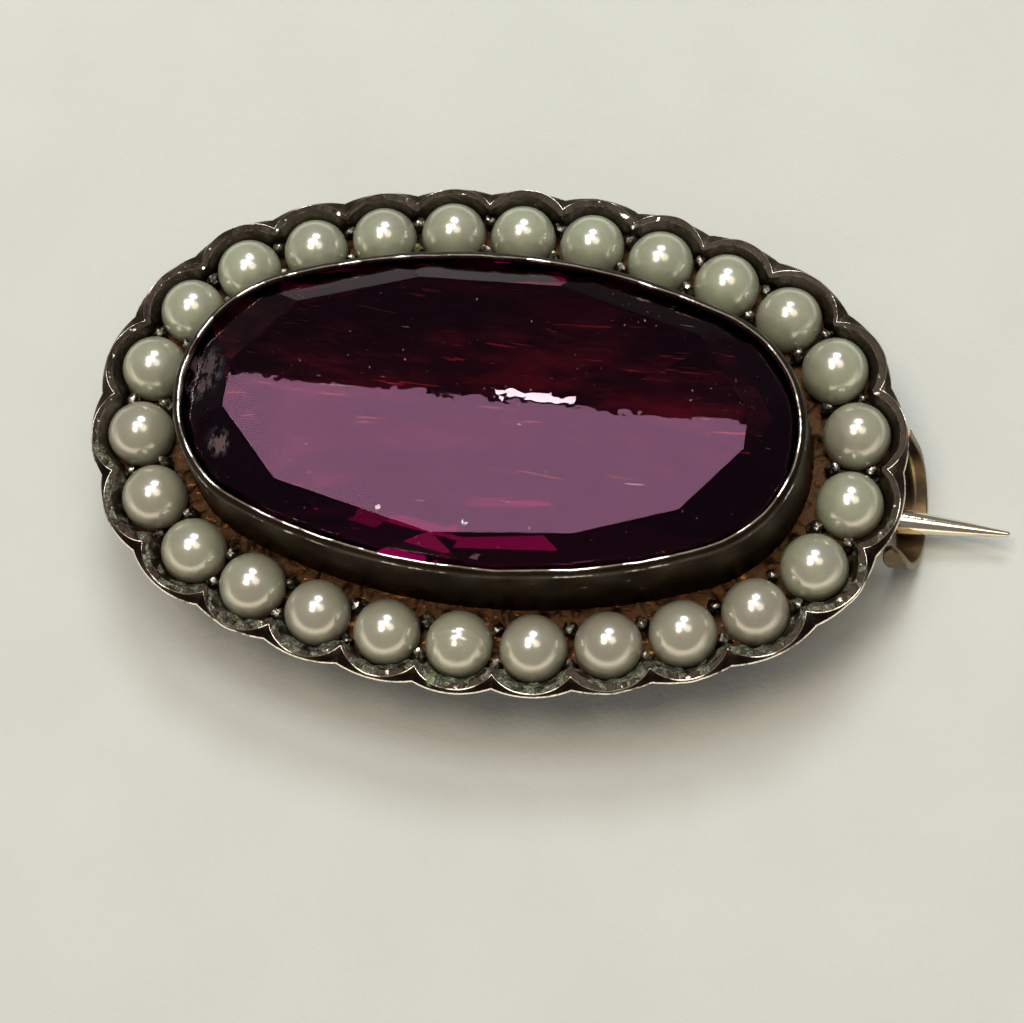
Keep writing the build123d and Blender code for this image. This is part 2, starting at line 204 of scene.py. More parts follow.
# Camera, set against the middle of the oval at the height of the pearls' centres
CAMERA_AIM = Vector((MIDDLE_X, 0, PEARL_HEIGHT))
CAMERA_ELEVATION = radians(70)
CAMERA_TURN = radians(25.826)
CAMERA_ROLL = radians(-18.509)
CAMERA_DISTANCE = 79.562 * MM
CAMERA_SLIDE = (-0.716 * MM, 2.779 * MM)
CAMERA_LENS = 76.71
CAMERA_NEAREST = 5 * MM

# Light from all round: overhead, low on the near side and low on the far side
WORLD_TOP = (0.20, 0.19, 0.19)
WORLD_NEAR = (1.85, 1.62, 1.22)
WORLD_FAR = (0.17, 0.15, 0.14)
WORLD_SIDE_LIMITS = (-0.6, 0.4)
WORLD_RISE_LIMITS = (0.18, 0.39)
FLOOR_HALF_WIDTH = 600 * MM

# Lamps, all at one height: place along X and Y and size in millimetres, brightness, colour and shape
LAMP_HEIGHT = 257.4 * MM
LAMPS = {
    "key_light": ((-32.5, 61.2), (145.0, 70.4), 7, (1, 1, 0.97), "RECTANGLE"),
    "far_light": ((10.0, 182.0), (118.0, 118.0), 9, (0.95, 1, 1), "ELLIPSE"),
    "near_light": ((-50.0, -20.0), (82.0, 82.0), 10, (1, 0.83, 0.62), "ELLIPSE"),
    "side_light": ((78.0, 20.0), (125.0, 120.0), 2.6, (1, 0.86, 0.68), "ELLIPSE"),
    "streak_light": ((-39.2, 97.5), (12.5, 1.2), 80, (0.55, 1, 0.62), "RECTANGLE"),
}

# Colours of the metal
TARNISH_DEEP = (0.062, 0.048, 0.035)
TARNISH_PALE = (0.120, 0.100, 0.078)
TARNISH_FLECK = (0.18, 0.150, 0.115)
FLOOR_BROWN = (0.032, 0.0165, 0.008)
COPPER = (0.24, 0.095, 0.030)
# Near-black of soot, also used as painted shade
SHADE_AND_SOOT = (0.014, 0.010, 0.008)
WORN_METAL = (0.90, 0.85, 0.76)
BORE_DARK = (0.022, 0.012, 0.008)
BORE_STAIN = (0.17, 0.055, 0.035)
BORE_STREAK = (0.75, 0.24, 0.12)
CRUST_COLOURS = ((0.020, 0.024, 0.015), (0.27, 0.28, 0.19))
VERDIGRIS_COLOURS = ((0.025, 0.05, 0.02), (0.22, 0.26, 0.09))
PIN_COLOURS = ((0.84, 0.77, 0.62), (0.66, 0.58, 0.43))
CATCH_COLOURS = ((0.15, 0.108, 0.062), (0.25, 0.185, 0.11))
# Painted shade on the catch, and its worn metal, also used for a painted glint line
CATCH_SHADE = (0.020, 0.014, 0.010)
CATCH_WORN_AND_GLINT = (0.58, 0.46, 0.25)

# Colours of the pearls, the stone and the floor
PEARL_WARM = (0.270, 0.258, 0.196)
PEARL_GREENISH = (0.332, 0.374, 0.256)
PEARL_CLOUD = (0.255, 0.232, 0.190)
PEARL_DIRT = (0.20, 0.16, 0.08)
STONE_PURPLE = (0.60, 0.0, 0.45)
STONE_DENSITY = 700.0
STONE_GLOSS = (0.53, 0.23, 0.41, 1.0)
STONE_CLEAR = (1.0, 1.0, 1.0)
STONE_MARKS = (0.30, 0.19, 0.20)
FLOOR_COLOURS = ((0.535, 0.565, 0.555), (0.60, 0.635, 0.62))

# Marks that a mesh carries for its finish: first those of a ring's rows, in their order
MARKS = ("wear_and_glint", "floor", "green", "soot_and_shade", "gilt", "tint", "dirt")

QUARTER = (LIP_END_RADIUS + PEARL_LINE) * JOIN_TURN + (SIDE_RADIUS + PEARL_LINE) * (pi / 2 - JOIN_TURN)
PITCH = 4 * QUARTER / len(PEARL_NODES)


# The oval


def oval_turn(travel):
    """Direction of the oval's outward normal, a travel along the pearl line from +X."""
    quarter, rest = divmod(travel, QUARTER)
    if quarter % 2:
        rest = QUARTER - rest
    end_travel = (LIP_END_RADIUS + PEARL_LINE) * JOIN_TURN
    if rest < end_travel:
        turn = rest / (LIP_END_RADIUS + PEARL_LINE)
    else:
        turn = JOIN_TURN + (rest - end_travel) / (SIDE_RADIUS + PEARL_LINE)
    if quarter % 2:
        turn = pi - turn
    return turn + (quarter // 2) * pi


def oval_spot(turn, outset, height):
    """Place on the oval set out from the lip oval, where its normal has this direction."""
    side_x = 1 if cos(turn) > 0 else -1
    side_y = 1 if sin(turn) > 0 else -1
    if abs(cos(turn)) > cos(JOIN_TURN):
        centre_x, centre_y, radius = side_x * END_CENTRE, 0, LIP_END_RADIUS
    else:
        centre_x, centre_y, radius = 0, -side_y * SIDE_CENTRE, SIDE_RADIUS
    reach = radius + outset
    return Vector((MIDDLE_X + centre_x + reach * cos(turn), centre_y + reach * sin(turn), height))


def rough(place, size, seed=0.0):
    """Smooth noise from -1 to 1 at a place, with bumps of a given size."""
    return noise.noise(place / size + Vector((seed, seed * 0.37, -seed)))


def clamp(value):
    """A value held between 0 and 1."""
    return min(1.0, max(0.0, value))


# Making of pieces


def new_mould():
    """Empty mesh under construction, with a layer for each mark."""
    mould = bmesh.new()
    for mark in MARKS:
        mould.verts.layers.float.new(mark)
    return mould


def finish_piece(mould, name, body, material, nodes=(), crease=35):
    """Turns a mould into a piece that rides on a body and has its finish."""
    mesh = bpy.data.meshes.new(name)
    mould.to_mesh(mesh)
    mould.free()
    mesh.shade_smooth()
    mesh.set_sharp_from_angle(angle=radians(crease))
    piece = bpy.data.objects.new(name, mesh)
    bpy.context.scene.collection.objects.link(piece)
    mesh.materials.append(material)
    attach(piece, body)
    if nodes:
        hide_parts(*nodes)
    return piece


def ring(mould, columns, section):
    """Closed ring round the oval: section(travel) gives rows of (outset, height, then its marks)."""
    layers = [mould.verts.layers.float[mark] for mark in MARKS]
    travels = [4 * QUARTER * column / columns for column in range(columns)]
    sections = [section(travel) for travel in travels]
    turns = [oval_turn(travel) for travel in travels]
    rows = len(sections[0])
    grid = bmesh.ops.create_grid(mould, x_segments=columns, y_segments=rows, size=1)["verts"]
    for vert in grid:
        column = round((vert.co.x + 1) / 2 * columns) % columns
        row = round((vert.co.y + 1) / 2 * rows) % rows
        outset, height, *marks = sections[column][row]
        vert.co = oval_spot(turns[column], outset, height)
        for layer, mark in zip(layers, marks):
            vert[layer] = mark
    bmesh.ops.remove_doubles(mould, verts=grid, dist=0.0001 * MM)
    bmesh.ops.recalc_face_normals(mould, faces=mould.faces)


def turned(mould, profile, place, steps, closed=False):
    """Adds a lathe-turned form: profile points (along, radius), turned about the place's X axis."""
    verts = [mould.verts.new(place @ Vector((along, 0, radius))) for along, radius in profile]
    pairs = list(zip(verts, verts[1:]))
    if closed:
        pairs.append((verts[-1], verts[0]))
    edges = [mould.edges.new(pair) for pair in pairs]
    axis = place.to_3x3() @ Vector((1, 0, 0))
    bmesh.ops.spin(
        mould,
        geom=verts + edges,
        cent=place.translation,
        axis=axis,
        angle=2 * pi,
        steps=steps,
        use_merge=True,
    )
    bmesh.ops.remove_doubles(mould, verts=mould.verts, dist=0.0001 * MM)
    bmesh.ops.recalc_face_normals(mould, faces=mould.faces)


def raised(mould, outset, bottom, top, columns):
    """Adds a solid with the oval's outline from bottom to top, and gives its upper vertices."""
    turns = [oval_turn(4 * QUARTER * column / columns) for column in range(columns)]
    base = mould.faces.new([mould.verts.new(oval_spot(turn, outset, bottom)) for turn in turns])
    lifted = bmesh.ops.extrude_face_region(mould, geom=[base])["geom"]
    upper = [part for part in lifted if isinstance(part, bmesh.types.BMVert)]
    bmesh.ops.translate(mould, verts=upper, vec=Vector((0, 0, top - bottom)))
    bmesh.ops.recalc_face_normals(mould, faces=mould.faces)
    return upper


def block(mould, middle, size):
    """Adds a block, and gives its vertices."""
    shape = Matrix.Translation(middle) @ Matrix.Diagonal((*size, 1))
    return bmesh.ops.create_cube(mould, size=1, matrix=shape)["verts"]


def soften(mould, edges, width):
    """Rounds edges a little."""
    bmesh.ops.bevel(mould, geom=edges, offset=width, segments=2, profile=0.5, affect="EDGES", material=-1)


# Finishes


class Value:
    """One output inside a finish, so that sums on it are written as they are said."""

    def __init__(self, finish, socket):
        self.finish = finish
        self.socket = socket

    def __add__(self, other):
        return self.finish.sum("ADD", self, other)

    def __sub__(self, other):
        return self.finish.sum("SUBTRACT", self, other)

    def __rsub__(self, other):
        return self.finish.sum("SUBTRACT", other, self)

    def __mul__(self, other):
        return self.finish.sum("MULTIPLY", self, other)

    __radd__ = __add__


class Finish:
    """A material, built from values."""

    def __init__(self, name):
        self.material = bpy.data.materials.new(name)
        self.material.use_nodes = True
        self.tree = self.material.node_tree
        self.tree.nodes.clear()
        where = self.node("ShaderNodeTexCoord", output="Object")
        self.place = self.node("ShaderNodeMapping", {}, {"Vector": where, "Scale": (1 / MM, 1 / MM, 1 / MM)})

    def node(self, kind, settings=None, inputs=None, output=0):
        """Adds a node, sets it up, fills its sockets, and gives one of its outputs."""
        made = self.tree.nodes.new(kind)
        for name, value in (settings or {}).items():
            setattr(made, name, value)
        for name, value in (inputs or {}).items():
            socket = made.inputs[name]
            if isinstance(value, Value):
                self.tree.links.new(value.socket, socket)
            elif socket.type == "RGBA" and len(value) == 3:
                socket.default_value = (*value, 1)
            else:
                socket.default_value = value
        return Value(self, made.outputs[output]) if made.outputs else made

    def sum(self, operation, first, second):
        """The result of one operation on two values."""
        return self.node("ShaderNodeMath", {"operation": operation}, {0: first, 1: second})

    def mark(self, name):
        """A mark that the mesh carries."""
        return self.node("ShaderNodeAttribute", {"attribute_name": name}, output="Fac")

    def grain(self, size, detail=3.0, roughness=0.5, squeeze=(1, 1, 1)):
        """Noise from 0 to 1 with features of a size in millimetres, longer along an axis squeezed under 1."""
        place = self.node("ShaderNodeMapping", {}, {"Vector": self.place, "Scale": squeeze})
        return self.node(
            "ShaderNodeTexNoise",
            {},
            {"Vector": place, "Scale": 1 / size, "Detail": detail, "Roughness": roughness},
        )

    def step(self, value, low, high):
        """0 below low, 1 above high, and smooth between them."""
        return self.node(
            "ShaderNodeMapRange",
            {"interpolation_type": "SMOOTHSTEP"},
            {"Value": value, "From Min": low, "From Max": high},
        )

    def near(self, spot, reach):
        """1 at a spot in millimetres, falling to 0 at a reach from it."""
        settings = {"operation": "DISTANCE"}
        away = self.node("ShaderNodeVectorMath", settings, {0: self.place, 1: spot}, output=1)
        return 1 - self.step(away, reach * 0.35, reach)

    def blend(self, factor, first, second):
        """Colour between two colours."""
        return self.node("ShaderNodeMix", {"data_type": "RGBA"}, {0: factor, 6: first, 7: second}, output=2)

    def bump(self, height, depth):
        """Normal raised by a height from 0 to 1, to a depth in metres."""
        return self.node("ShaderNodeBump", {}, {"Height": height, "Distance": depth, "Strength": 1.0})

    def close(self, volume=None, **sockets):
        """Ends the finish in one surface shader, and in what fills the piece if anything does."""
        inputs = {name.replace("_", " "): value for name, value in sockets.items()}
        ends = {"Surface": self.node("ShaderNodeBsdfPrincipled", {}, inputs)}
        if volume:
            ends["Volume"] = volume
        self.node("ShaderNodeOutputMaterial", {}, ends)
        return self.material


def tarnished_metal():
    """Old gilt metal: dark tarnish, bright worn edges, copper-coloured floor, green corrosion, soot, and
    painted shade on the tray's land, bevel and lower wall.
    """
    finish = Finish("tarnished_metal")
    patches = finish.grain(1.3, 4)
    fine = finish.grain(0.16, 4, 0.65)
    specks = finish.grain(0.09, 3, 0.7)
    flakes = finish.grain(0.36, 4, 0.65, squeeze=(0.6, 1.4, 1))
    stains = finish.grain(1.6, 4, 0.6, squeeze=(0.3, 1.2, 1))
    streaks = finish.grain(0.5, 2, 0.6, squeeze=(0.16, 3.2, 1))
    floor = finish.mark("floor")
    bore = finish.mark("gilt")
    worn = finish.step(finish.mark("wear_and_glint") + (fine - 0.5) * 0.9, 0.42, 0.72)
    copper = finish.step(floor * finish.step(flakes, 0.54, 0.66) + (specks - 0.5) * 0.5, 0.56, 0.76)
    green = finish.step(finish.mark("green") + (fine - 0.5) * 0.6, 0.35, 0.6)
    spots = 0.0
    for spot, reach in GREEN_SPOTS:
        spots = finish.near(spot, reach) + spots
    verdigris = finish.step(spots + (specks - 0.5) * 0.9, 0.45, 0.7)
    colour = finish.blend(finish.step(patches, 0.35, 0.65), TARNISH_DEEP, TARNISH_PALE)
    for factor, over in (
        (finish.step(fine, 0.5, 0.8) * 0.5, TARNISH_FLECK),
        (finish.step(floor, 0.1, 0.5), FLOOR_BROWN),
        (copper, COPPER),
        # soot, and painted shade on the tray's land, bevel and lower wall
        (finish.mark("soot_and_shade"), SHADE_AND_SOOT),
        (worn, WORN_METAL),
        (bore, BORE_DARK),
        (bore * finish.step(stains, 0.42, 0.70), BORE_STAIN),
        (bore * finish.step(streaks, 0.66, 0.72), BORE_STREAK),
        (green, finish.blend(finish.step(specks, 0.42, 0.75), *CRUST_COLOURS)),
        (verdigris, finish.blend(specks, *VERDIGRIS_COLOURS)),
    ):
        colour = finish.blend(factor, colour, over)
    return finish.close(
        Base_Color=colour,
        Metallic=(1 - green * 0.85) * (1 - verdigris),
        Roughness=0.30 + patches * 0.16 + green * 0.2 - worn * 0.12,
        Normal=finish.bump(fine * 0.7 + specks * 0.3 + green * 0.4, 0.035 * MM),
    )


def pin_metal():
    """Polished white metal with a faint straw tint and fine marks."""
    finish = Finish("pin_metal")
    marks = finish.grain(0.25, 4, 0.6)
    haze = finish.step(finish.grain(1.5, 3), 0.35, 0.75)
    return finish.close(
        Base_Color=finish.blend(haze, *PIN_COLOURS),
        Metallic=1.0,
        Roughness=0.09 + haze * 0.08,
        Normal=finish.bump(marks, 0.006 * MM),
    )


def catch_metal():
    """Old yellow metal of the catch, browned, with polished spots, painted shade and a painted glint line."""
    finish = Finish("catch_metal")
    patches = finish.grain(0.9, 4)
    fine = finish.grain(0.2, 4)
    colour = finish.blend(finish.step(patches, 0.4, 0.7), *CATCH_COLOURS)
    # The dark mark here is painted shade; the bright mark holds a painted glint line besides worn spots.
    colour = finish.blend(finish.mark("soot_and_shade"), colour, CATCH_SHADE)
    worn = finish.step(finish.mark("wear_and_glint") + (fine - 0.5) * 0.2, 0.45, 0.75)
    return finish.close(
        Base_Color=finish.blend(worn, colour, CATCH_WORN_AND_GLINT),
        Metallic=1.0,
        Roughness=0.30 + patches * 0.14,
        Normal=finish.bump(fine, 0.008 * MM),
    )


def nacre():
    """Cream seed pearl: warm or greenish by pearl, satin under a clear bright skin."""
    finish = Finish("nacre")
    cloud = finish.grain(1.1, 3)
    skin = finish.grain(0.14, 3)
    body = finish.blend(finish.mark("tint"), PEARL_WARM, PEARL_GREENISH)
    colour = finish.blend(finish.step(cloud, 0.35, 0.7) * 0.5, body, PEARL_CLOUD)
    dirt = finish.step(finish.mark("dirt") + (skin - 0.5) * 0.3, 0.4, 0.8)
    return finish.close(
        Base_Color=finish.blend(dirt, colour, PEARL_DIRT),
        Metallic=0.0,
        Roughness=0.38,
        IOR=1.5,
        Coat_Weight=1.0,
        Coat_Roughness=0.18,
        Coat_IOR=2.5,
        Subsurface_Weight=0.7,
        Subsurface_Radius=(0.8 * MM, 0.7 * MM, 0.5 * MM),
        Subsurface_Scale=1.0,
        Normal=finish.bump(cloud + skin * 0.15, 0.02 * MM),
    )


def cut_stone():
    """Deep purple quartz, polished, with specks, light scratches and chipped edges."""
    finish = Finish("cut_stone")
    waves = finish.grain(1.1, 2, 0.6)
    dusty = finish.step(finish.grain(1.6, 3), 0.45, 0.6)
    specks = finish.step(finish.grain(0.13, 2, 0.5), 0.72, 0.76) * dusty
    scratches = finish.step(finish.grain(0.9, 2, 0.5, squeeze=(0.3, 5, 1)), 0.72, 0.74)
    marks = finish.step(specks + scratches * finish.step(finish.grain(0.8), 0.5, 0.6), 0.3, 0.6)
    ragged = finish.step(finish.grain(0.3, 4, 0.7, squeeze=(1, 0.5, 1)), 0.42, 0.6)
    for chip, reach in CHIPS:
        marks = marks + finish.near(chip, reach) * ragged
    marks = finish.step(marks, 0.0, 1.0)
    filling = {"Color": STONE_PURPLE, "Density": STONE_DENSITY}
    return finish.close(
        volume=finish.node("ShaderNodeVolumeAbsorption", {}, filling),
        Base_Color=finish.blend(marks, STONE_CLEAR, STONE_MARKS),
        Metallic=marks * 0.6,
        Roughness=marks * 0.5,
        IOR=1.55,
        Specular_Tint=STONE_GLOSS,
        Transmission_Weight=1.0,
        Normal=finish.bump(waves, 0.0016 * MM),
    )


def pale_floor():
    """Plain pale surface under the brooch."""
    finish = Finish("pale_floor")
    cloud = finish.grain(6, 4)
    return finish.close(
        Base_Color=finish.blend(cloud, *FLOOR_COLOURS),
        Roughness=0.9,
        Normal=finish.bump(finish.grain(0.5, 5, 0.7), 0.05 * MM),
    )


# Tray

tray_luck = random.Random(7)
CUP_SPREAD = [tray_luck.uniform(-0.03, 0.03) * MM for _ in PEARL_NODES]
CREST_SHIFT = [tray_luck.uniform(-0.05, 0.04) * MM for _ in PEARL_NODES]
CUSP_SHIFT = [tray_luck.uniform(-0.12, 0.10) * MM for _ in PEARL_NODES]
RIM_SHIFT = [tray_luck.uniform(-0.05, 0.05) * MM for _ in PEARL_NODES]


def scallop(along, depth):
    """How far an arc over one pearl's pitch falls back from its top."""
    radius = (PITCH**2 / 4 + depth**2) / (2 * depth)
    return sqrt(radius**2 - along**2) - radius


def chord(radius, along):
    """How far outwards a circle reaches, at a distance along from its middle."""
    return sqrt(max(radius**2 - along**2, 0))


def floor_rows(turn, inner, foot, nearness):
    """Rows over the tray's floor, with crumbs of dirt on it."""
    rows = []
    for step in range(FLOOR_ROWS):
        outset = inner + (foot - inner) * step / (FLOOR_ROWS - 1)
        here = oval_spot(turn, PEARL_LINE + outset, 0)
        crumbs = max(0.0, rough(here, 0.35 * MM, 3)) * 0.14 * MM + rough(here, 0.9 * MM, 4) * 0.04 * MM
        rows.append((outset, PLATE_TOP + crumbs, 0, 0.55 + 0.45 * nearness**2, 0, 0))
    return rows


def cup_rows(turn, low, high, nearness):
    """Rows up one stretch of a pearl's cup, between two points of its section, with crust on it."""
    rows = []
    for step in range(1, CUP_ROWS + 1):
        share = step / (CUP_ROWS + 0.5)
        outset = low[0] + (high[0] - low[0]) * share
        height = low[1] + (high[1] - low[1]) * share
        here = oval_spot(turn, PEARL_LINE + outset, height)
        crust = max(0.0, rough(here, 0.40 * MM, 11) + 0.15) * nearness
        lumps = crust * 0.20 * MM + rough(here, 0.22 * MM, 15) * 0.02 * MM
        patina = 0.16 + 0.26 * nearness + 0.4 * rough(here, 0.5 * MM, 19)
        rows.append((outset - lumps * 0.6, height + lumps * 0.6, 0, 0, patina + crust, 0))
    return rows


def land_rows(turn, edge, crest, top, share, nearness):
    """Rows over the top of the wall, from the cup's edge to the crest, with crust and worn places, all
    painted dark as shade.
    """
    rows = []
    for step in range(LAND_ROWS):
        outset = edge + (crest - THINNEST_EDGE - edge) * step / (LAND_ROWS - 1)
        here = oval_spot(turn, PEARL_LINE + outset, top)
        crust = max(0.0, rough(here, 0.34 * MM, 11) * 1.3 + 0.35) * min(1.0, nearness * 1.8)
        wear_and_glint = max(0.0, rough(here, 0.28 * MM, 17) * 1.2 - 0.1)
        lift = crust * 0.05 * MM + rough(here, 0.25 * MM, 15) * 0.02 * MM
        patina = 0.12 + 0.4 * rough(here, 0.5 * MM, 19)
        green = patina + crust * (1 - share**4) * 1.2
        # The last mark paints the land dark, as shade.
        rows.append((outset, top - 0.02 * MM + lift, wear_and_glint, 0, green, 0.85))
    return rows


def crest_rows(crest, top, glint):
    """Rows over the thin ridge along the crest of the wall, worn bright in places."""
    return [
        (crest - 0.030 * MM, top, glint * 0.5, 0, 0, 0),
        (crest - 0.015 * MM, top, glint, 0, 0, 0),
        (crest, top - 0.015 * MM, glint, 0, 0, 0),
        # The last row starts the bevel's painted shade.
        (crest + 0.01 * MM, top - 0.035 * MM, 0, 0, 0, 1),
    ]


def rim_rows(crest, rim, top, glint, nearness):
    """Rows down the bevel, painted dark as shade and darkest on the near side, over the worn rim and down the
    wall, which leans in and is painted half dark as shade.
    """
    shoulder = WALL_TOP - BEVEL_DROP
    # Painted shade: the bevel and the wall below the rim are darkened, most on the near side.
    soot_and_shade = 0.5 + 0.5 * min(1.0, nearness * 3)
    rows = []
    for step in range(1, BEVEL_ROWS + 1):
        outset = crest + (rim - 0.055 * MM - crest) * step / BEVEL_ROWS
        rows.append((outset, top - 0.01 * MM + (shoulder - top) * step / BEVEL_ROWS, 0, 0, 0, soot_and_shade))
    wear_and_glint = 0.55 + 0.5 * glint
    rows += [
        (rim - 0.045 * MM, shoulder - 0.002 * MM, wear_and_glint, 0, 0, 0),
        (rim - 0.020 * MM, shoulder - 0.020 * MM, wear_and_glint, 0, 0, 0),
        (rim, shoulder - 0.050 * MM, wear_and_glint, 0, 0, 0),
        (rim - 0.004 * MM, shoulder - 0.070 * MM, 0, 0, 0, 0.5),
    ]
    for step in range(1, WALL_ROWS + 1):
        height = shoulder - 0.07 * MM + (PLATE_BOTTOM + 0.10 * MM - shoulder) * step / WALL_ROWS
        rows.append((rim - 0.004 * MM - RIM_UNDERCUT * step / WALL_ROWS, height, 0.1, 0, 0, 0.5))
    return rows


def underside_rows(rim, inner):
    """Rows back underneath the tray, from the foot of the wall to the collet."""
    outer = rim - RIM_UNDERCUT - 0.05 * MM
    rows = [(outer, PLATE_BOTTOM, 0.3, 0, 0, 0)]
    for step in range(1, UNDERSIDE_ROWS + 1):
        rows.append((outer + (inner - outer) * step / UNDERSIDE_ROWS, PLATE_BOTTOM, 0.1, 0, 0, 0))
    return rows


def tray_section(travel):
    """One cross section of the tray, from the collet over the rim and back underneath."""
    pearl, along = divmod(travel, PITCH)
    pearl = int(pearl)
    along -= PITCH / 2
    cusp = (pearl + (along > 0)) % len(PEARL_NODES)
    share = (2 * along / PITCH) ** 2
    turn = oval_turn(travel)
    nearness = max(0.0, -sin(turn))
    spot = oval_spot(turn, PEARL_LINE + CREST_OUTSET, WALL_TOP)

    inner = COLLET_FOOT - PEARL_LINE - 0.08 * MM
    foot = max(chord(CUP_FOOT_RADIUS, along), LAND_OUTSET - 0.05 * MM)
    shelf = max(chord(CUP_SHELF_RADIUS, along), LAND_OUTSET - 0.03 * MM)
    edge = max(chord(CUP_TOP_RADIUS + CUP_SPREAD[pearl], along), LAND_OUTSET)
    crest = CREST_OUTSET + scallop(along, CREST_DEPTH) + rough(spot, 0.7 * MM) * 0.02 * MM
    crest += CREST_SHIFT[pearl] * (1 - share) + CUSP_SHIFT[cusp] * share
    crest = max(crest, edge + THINNEST_EDGE)
    rim = RIM_OUTSET + scallop(along, RIM_DEPTH) + rough(spot, 3 * MM, 5) * 0.06 * MM
    rim = max(rim + RIM_SHIFT[pearl] * (1 - share), crest + THINNEST_EDGE)
    top = WALL_TOP + rough(spot, 1.5 * MM, 9) * 0.03 * MM
    bend = PLATE_TOP + CUP_SHELF_HEIGHT
    glint = clamp(0.35 + 1.3 * rough(spot, 0.9 * MM, 13) + 0.8 * share**6)

    rows = floor_rows(turn, inner, foot, nearness)
    rows += cup_rows(turn, (foot, PLATE_TOP), (shelf, bend), nearness)
    rows += cup_rows(turn, (shelf, bend), (edge, top), nearness)
    rows += land_rows(turn, edge, crest, top, share, nearness)
    rows += crest_rows(crest, top, glint)
    rows += rim_rows(crest, rim, top, glint, nearness)
    rows += underside_rows(rim, inner)
    return [(PEARL_LINE + outset, *rest) for outset, *rest in rows]


# Collet


def collet_section(travel):
    """One cross section of the collet, up its outside, over the lip and down its bore."""
    turn = oval_turn(travel)
    spot = oval_spot(turn, LIP_WIDTH, LIP_TOP)
    dent = rough(spot, 2.2 * MM, 21) * 0.03 * MM
    nick = max(0.0, rough(spot, 0.55 * MM, 23) - 0.15) * 0.10 * MM
    inner_wave = rough(spot, 1.4 * MM, 25) * 0.035 * MM
    top = LIP_TOP - nick + rough(spot, 3 * MM, 27) * 0.015 * MM
    glint = clamp(0.52 + 1.4 * rough(spot, 0.9 * MM, 29))
    seam = max(0.0, 1 - min(travel, 4 * QUARTER - travel) / SEAM_WIDTH)
    rows = [(COLLET_FOOT + 0.05 * MM, PLATE_TOP - 0.05 * MM, 0, 0.6, 0, 0)]
    wall_rise = LIP_TOP - 0.48 * MM - PLATE_TOP
    for step in range(COLLET_ROWS):
        share = step / (COLLET_ROWS - 1)
        outset = COLLET_FOOT + (LIP_WIDTH - COLLET_FOOT) * share + 0.05 * MM * (1 - share) ** 8
        height = PLATE_TOP + wall_rise * share
        here = oval_spot(turn, outset, height)
        dab = max(0.0, rough(here, 0.5 * MM, 41) - 0.42) * 3 * share
        dirt = max(seam, 0.35 + 0.5 * rough(here, 1.1 * MM, 43))
        rows.append((outset + dent * share - 0.05 * MM * seam, height, dab, 0.4 * (1 - share) ** 3, 0, dirt))
    for outset, drop, wear_and_glint, soot_and_shade in LIP_SECTION:
        wave = inner_wave if outset < 0.2 * MM else dent
        rows.append((outset + wave, top - drop, wear_and_glint * glint, 0, 0, soot_and_shade))
    rows += [
        # The inside of the lip is painted black.
        (0.0, LIP_TOP - 0.27 * MM, 0, 0, 0, 1),
        (0.13 * MM, LIP_TOP - 0.29 * MM, 0, 0, 0, 1),
        (0.17 * MM, LIP_TOP - 0.40 * MM, 0, 0, 0, 1),
        (0.17 * MM, BEARING_HEIGHT, 0, 0, 0, 0, 1),
        (-0.10 * MM, BEARING_HEIGHT, 0, 0, 0, 0, 1),
        (-0.12 * MM, BEARING_HEIGHT - 0.05 * MM, 0, 0, 0, 0, 1),
    ]
    for step in range(1, BORE_ROWS + 1):
        height = BEARING_HEIGHT + (BACK_BOTTOM + 0.04 * MM - BEARING_HEIGHT) * step / BORE_ROWS
        rows.append((-0.12 * MM, height, 0, 0, 0, 0, 1))
    rows += [
        (-0.08 * MM, BACK_BOTTOM, 0.2, 0, 0, 0),
        (COLLET_FOOT - 0.06 * MM, BACK_BOTTOM, 0.3, 0, 0, 0),
        (COLLET_FOOT, BACK_BOTTOM + 0.06 * MM, 0.3, 0, 0, 0),
        (COLLET_FOOT, PLATE_BOTTOM + 0.05 * MM, 0, 0, 0, 0),
    ]
    return rows


def make_back(material):
    """Plate that closes the collet behind the stone."""
    mould = new_mould()
    gilt = mould.verts.layers.float["gilt"]
    for vert in raised(mould, -BACK_INSET, BACK_BOTTOM, BACK_BOTTOM + BACK_THICKNESS, BACK_COLUMNS):
        vert[gilt] = 1
    finish_piece(mould, "back_plate", "brooch", material, ["setting"])


# Grains


def grain_spots():
    """Places of the grains, two between each pair of pearls, with the way they lean."""
    spots = []
    for index in range(len(PEARL_NODES)):
        travel = (index + 1) * PITCH
        turn = oval_turn(travel)
        here = oval_spot(oval_turn(travel - PITCH / 2), PEARL_LINE, 0)
        there = oval_spot(oval_turn(travel + PITCH / 2), PEARL_LINE, 0)
        half = (there - here).length / 2
        across = sqrt(GRAIN_REACH**2 - half**2)
        outwards = Vector((cos(turn), sin(turn), 0))
        middle = (here + there) / 2
        spots += [(middle + outwards * across, -outwards), (middle - outwards * across, outwards)]
    return spots


